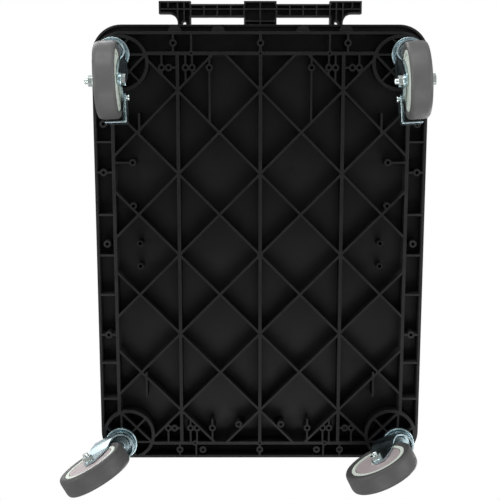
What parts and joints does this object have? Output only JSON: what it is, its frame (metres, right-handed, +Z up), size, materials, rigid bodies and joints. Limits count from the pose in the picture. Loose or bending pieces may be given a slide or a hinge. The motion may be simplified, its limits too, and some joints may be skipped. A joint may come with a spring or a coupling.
{
  "type": "platform trolley",
  "caption": "Moulded black platform trolley with a rib-lattice underside, folding push handle and grey-tyred swivel casters, two of them braked.",
  "frame": {"origin": "on the deck's load surface, midway between the four casters' swivel axes", "axes": "+Z up; +Y towards the folding handle's hinge, so -Y is the end with the braked casters and the folded handle's grip; +X to the right when looking along +Y"},
  "size_m": [0.5102, 0.6737, 0.204],
  "materials": {
    "deck_plastic": "fine moulded texture, black",
    "grip_plastic": "fine moulded texture, black",
    "pedal_plastic": "ribbed, black",
    "plated_steel": "bright zinc plate",
    "bracket_steel": "bright zinc plate",
    "fastener_steel": "bright zinc plate",
    "ball_steel": "polished",
    "tube_steel": "satin black powder coat",
    "tyre_rubber": "satin grey thermoplastic rubber",
    "hub_plastic": "pale grey-green moulding",
    "cover_plastic": "pale warm grey moulding",
    "shoe_rubber": "black friction block",
    "pad_rubber": "black rubber"
  },
  "bodies": {
    "platform": {"deck": "deck_plastic", "stem_inserts": "plated_steel", "swivel_stems": "plated_steel", "swivel_cups": "plated_steel", "race_washers": "plated_steel", "swivel_balls": "ball_steel", "hinge_brackets": "bracket_steel", "hinge_rod": "plated_steel", "rod_nuts": "fastener_steel", "deck_screws": "fastener_steel", "rest_pads": "pad_rubber", "latch_bracket": "bracket_steel", "latch_pin": "fastener_steel"},
    "handle": {"grip_head": "grip_plastic", "grip_screws": "fastener_steel", "handle_tubes": "tube_steel", "cross_tube": "tube_steel", "pivot_tube": "tube_steel", "lock_sector": "bracket_steel"},
    "latch": {"latch_lever": "bracket_steel", "latch_pedal": "pedal_plastic"},
    "fork_brake_left_body": {"fork_brake_left": "plated_steel", "axle_bolt_brake_left": "fastener_steel", "axle_nut_brake_left": "fastener_steel", "axle_sleeve_brake_left": "plated_steel", "brake_bracket_brake_left": "plated_steel", "brake_pin_brake_left": "fastener_steel", "brake_spring_brake_left": "fastener_steel"},
    "wheel_brake_left_body": {"tyre_brake_left": "tyre_rubber", "hub_brake_left": "hub_plastic", "wheel_covers_brake_left": "hub_plastic"},
    "pedal_brake_left_body": {"brake_pedal_brake_left": "plated_steel", "brake_shoe_brake_left": "shoe_rubber"},
    "fork_brake_right_body": {"fork_brake_right": "plated_steel", "axle_bolt_brake_right": "fastener_steel", "axle_nut_brake_right": "fastener_steel", "axle_sleeve_brake_right": "plated_steel", "brake_bracket_brake_right": "plated_steel", "brake_pin_brake_right": "fastener_steel", "brake_spring_brake_right": "fastener_steel"},
    "wheel_brake_right_body": {"tyre_brake_right": "tyre_rubber", "hub_brake_right": "hub_plastic", "wheel_covers_brake_right": "hub_plastic"},
    "pedal_brake_right_body": {"brake_pedal_brake_right": "plated_steel", "brake_shoe_brake_right": "shoe_rubber"},
    "fork_plain_left_body": {"fork_plain_left": "plated_steel", "axle_bolt_plain_left": "fastener_steel", "axle_nut_plain_left": "fastener_steel", "axle_sleeve_plain_left": "plated_steel"},
    "wheel_plain_left_body": {"tyre_plain_left": "tyre_rubber", "hub_plain_left": "hub_plastic", "wheel_covers_plain_left": "cover_plastic"},
    "fork_plain_right_body": {"fork_plain_right": "plated_steel", "axle_bolt_plain_right": "fastener_steel", "axle_nut_plain_right": "fastener_steel", "axle_sleeve_plain_right": "plated_steel"},
    "wheel_plain_right_body": {"tyre_plain_right": "tyre_rubber", "hub_plain_right": "hub_plastic", "wheel_covers_plain_right": "cover_plastic"}
  },
  "joints": [
    {"name": "handle_fold", "type": "hinge", "parent": "platform", "child": "handle", "pos_m": [0, 0.256, 0.017], "axis": [-1, 0, 0], "range_deg": [0, 90]},
    {"name": "latch_press", "type": "hinge", "parent": "platform", "child": "latch", "pos_m": [0, 0.292, 0.0115], "axis": [-1, 0, 0], "range_deg": [0, 12], "stiffness_Nm_per_rad": 1.2, "springref_deg": -14.32},
    {"name": "swivel_brake_left", "type": "hinge", "parent": "platform", "child": "fork_brake_left_body", "pos_m": [-0.2, -0.2735, -0.032], "axis": [0, 0, 1], "continuous": true},
    {"name": "wheel_brake_left", "type": "hinge", "parent": "fork_brake_left_body", "child": "wheel_brake_left_body", "pos_m": [-0.19878, -0.23852, -0.104], "axis": [-0.9994, 0.0349, 0], "continuous": true},
    {"name": "brake_brake_left", "type": "hinge", "parent": "fork_brake_left_body", "child": "pedal_brake_left_body", "pos_m": [-0.19798, -0.21554, -0.082], "axis": [-0.9994, 0.0349, 0], "range_deg": [0, 8]},
    {"name": "swivel_brake_right", "type": "hinge", "parent": "platform", "child": "fork_brake_right_body", "pos_m": [0.2, -0.2735, -0.032], "axis": [0, 0, 1], "continuous": true},
    {"name": "wheel_brake_right", "type": "hinge", "parent": "fork_brake_right_body", "child": "wheel_brake_right_body", "pos_m": [0.20232, -0.23858, -0.104], "axis": [-0.9978, 0.0663, 0], "continuous": true},
    {"name": "brake_brake_right", "type": "hinge", "parent": "fork_brake_right_body", "child": "pedal_brake_right_body", "pos_m": [0.20384, -0.21563, -0.082], "axis": [-0.9978, 0.0663, 0], "range_deg": [0, 8]},
    {"name": "swivel_plain_left", "type": "hinge", "parent": "platform", "child": "fork_plain_left_body", "pos_m": [-0.2, 0.2735, -0.032], "axis": [0, 0, 1], "continuous": true},
    {"name": "wheel_plain_left", "type": "hinge", "parent": "fork_plain_left_body", "child": "wheel_plain_left_body", "pos_m": [-0.23031, 0.291, -0.104], "axis": [-0.5, -0.866, 0], "continuous": true},
    {"name": "swivel_plain_right", "type": "hinge", "parent": "platform", "child": "fork_plain_right_body", "pos_m": [0.2, 0.2735, -0.032], "axis": [0, 0, 1], "continuous": true},
    {"name": "wheel_plain_right", "type": "hinge", "parent": "fork_plain_right_body", "child": "wheel_plain_right_body", "pos_m": [0.16868, 0.28912, -0.104], "axis": [-0.4462, -0.8949, 0], "continuous": true}
  ]
}
